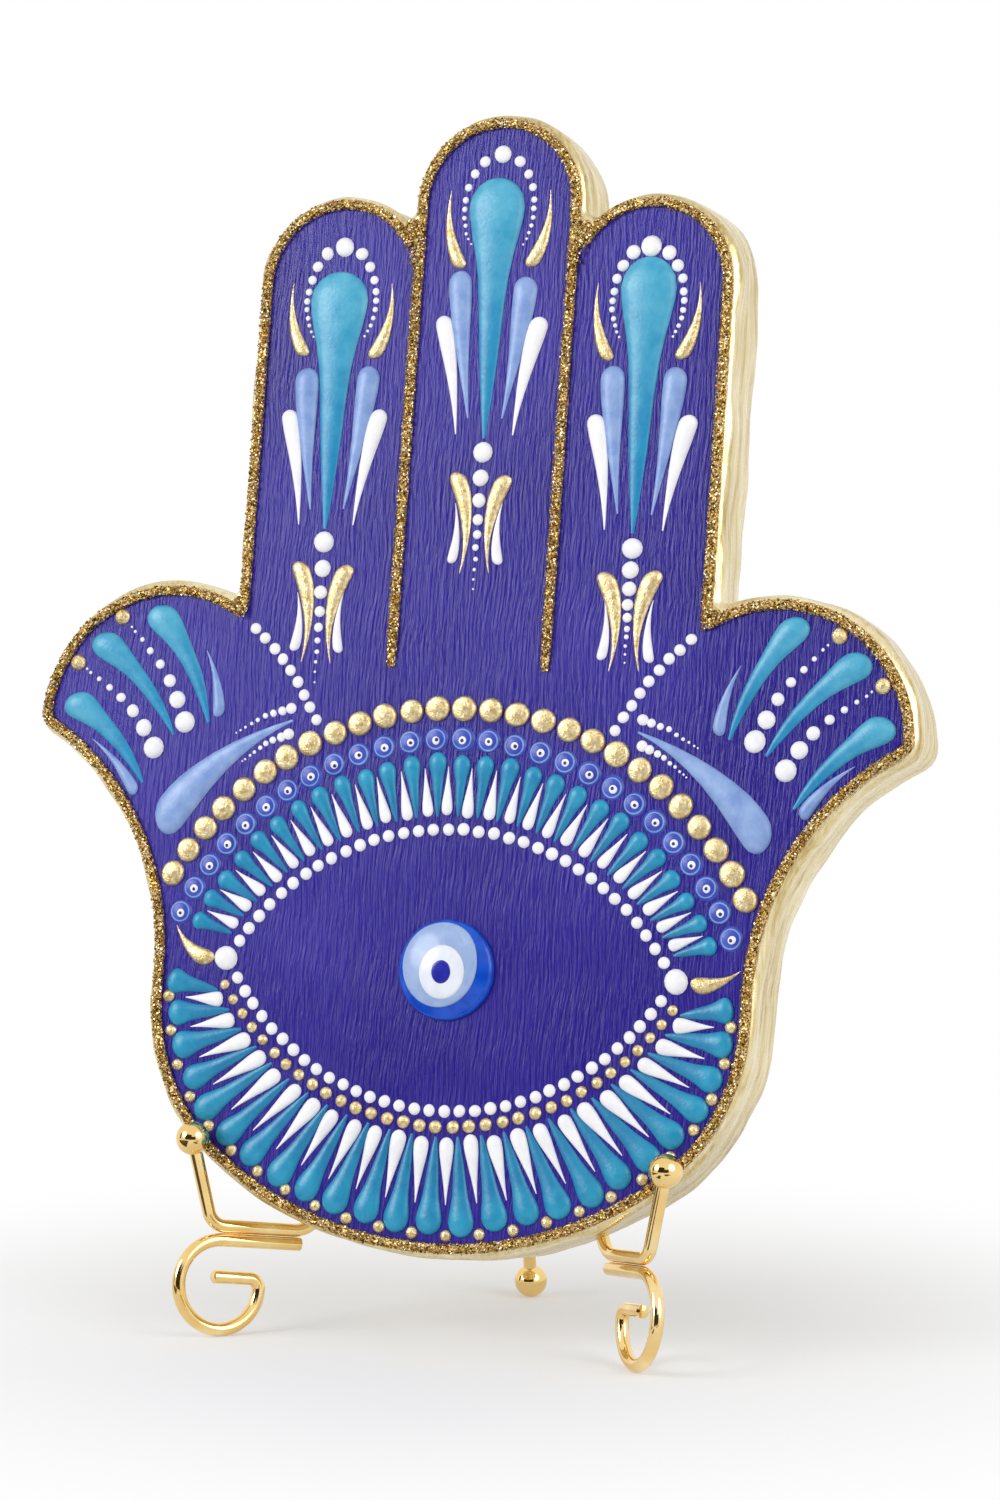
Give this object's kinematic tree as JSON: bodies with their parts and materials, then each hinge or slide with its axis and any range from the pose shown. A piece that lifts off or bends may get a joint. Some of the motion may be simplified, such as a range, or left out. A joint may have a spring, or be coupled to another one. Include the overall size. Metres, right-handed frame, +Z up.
{
  "type": "hamsa hand ornament on easel",
  "caption": "Hand-shaped painted ornament with a glass eye and raised dot paint, leaning in the ball-tipped hooks of a folding wire easel with scroll feet.",
  "frame": {"origin": "on the floor under the middle of the whole ornament", "axes": "+Z up, -Y the way the painted face looks, +X to the right of someone facing the painted side"},
  "size_m": [0.1674, 0.0612, 0.2166],
  "materials": {
    "gold_wire": "polished gold plating",
    "painted_board": "satin blue painted face, gilded sides",
    "glitter": "gold glitter glue",
    "cobalt_glass": "opaque polished glass",
    "pale_glass": "opaque polished glass",
    "white_glass": "opaque polished glass",
    "pupil_glass": "opaque polished glass",
    "gold_paint": "metallic raised paint",
    "white_paint": "matte raised paint",
    "turquoise_paint": "glossy raised paint",
    "light_blue_paint": "matte raised paint",
    "blue_paint": "glossy raised paint"
  },
  "bodies": {
    "easel": {"right_side_wire": "gold_wire", "left_side_wire": "gold_wire", "right_scroll_foot": "gold_wire", "left_scroll_foot": "gold_wire", "right_hook_ball": "gold_wire", "left_hook_ball": "gold_wire", "hinge_bar": "gold_wire"},
    "rear_leg": {"rear_leg": "gold_wire", "leg_sleeve": "gold_wire", "rear_ball": "gold_wire"},
    "hand": {"hand_board": "painted_board", "glitter_rim": "glitter", "right_finger_line": "glitter", "left_finger_line": "glitter", "eye_glass": "cobalt_glass", "eye_pale_layer": "pale_glass", "eye_white_layer": "white_glass", "eye_pupil": "pupil_glass", "eye_outline_dots": "white_paint", "gold_arc_dots": "gold_paint", "eye_row_dots": "blue_paint", "upper_rays": "turquoise_paint", "upper_white_drops": "white_paint", "lower_rays": "turquoise_paint", "lower_white_drops": "white_paint", "finger_drops": "turquoise_paint", "finger_crown_dots": "white_paint", "finger_column_dots": "white_paint", "thumb_drops": "turquoise_paint", "thumb_gold_dots": "gold_paint", "thumb_row_dots": "white_paint", "palm_side_drops": "light_blue_paint"}
  },
  "joints": [
    {"name": "hand_lift", "type": "slide", "parent": "easel", "child": "hand", "axis": [0, 0.1865, 0.9825], "range_m": [0, 0.04]},
    {"name": "rear_leg_fold", "type": "hinge", "parent": "easel", "child": "rear_leg", "pos_m": [0, 0.00896, 0.09492], "axis": [-1, 0, 0], "range_deg": [0, 20.5]}
  ]
}
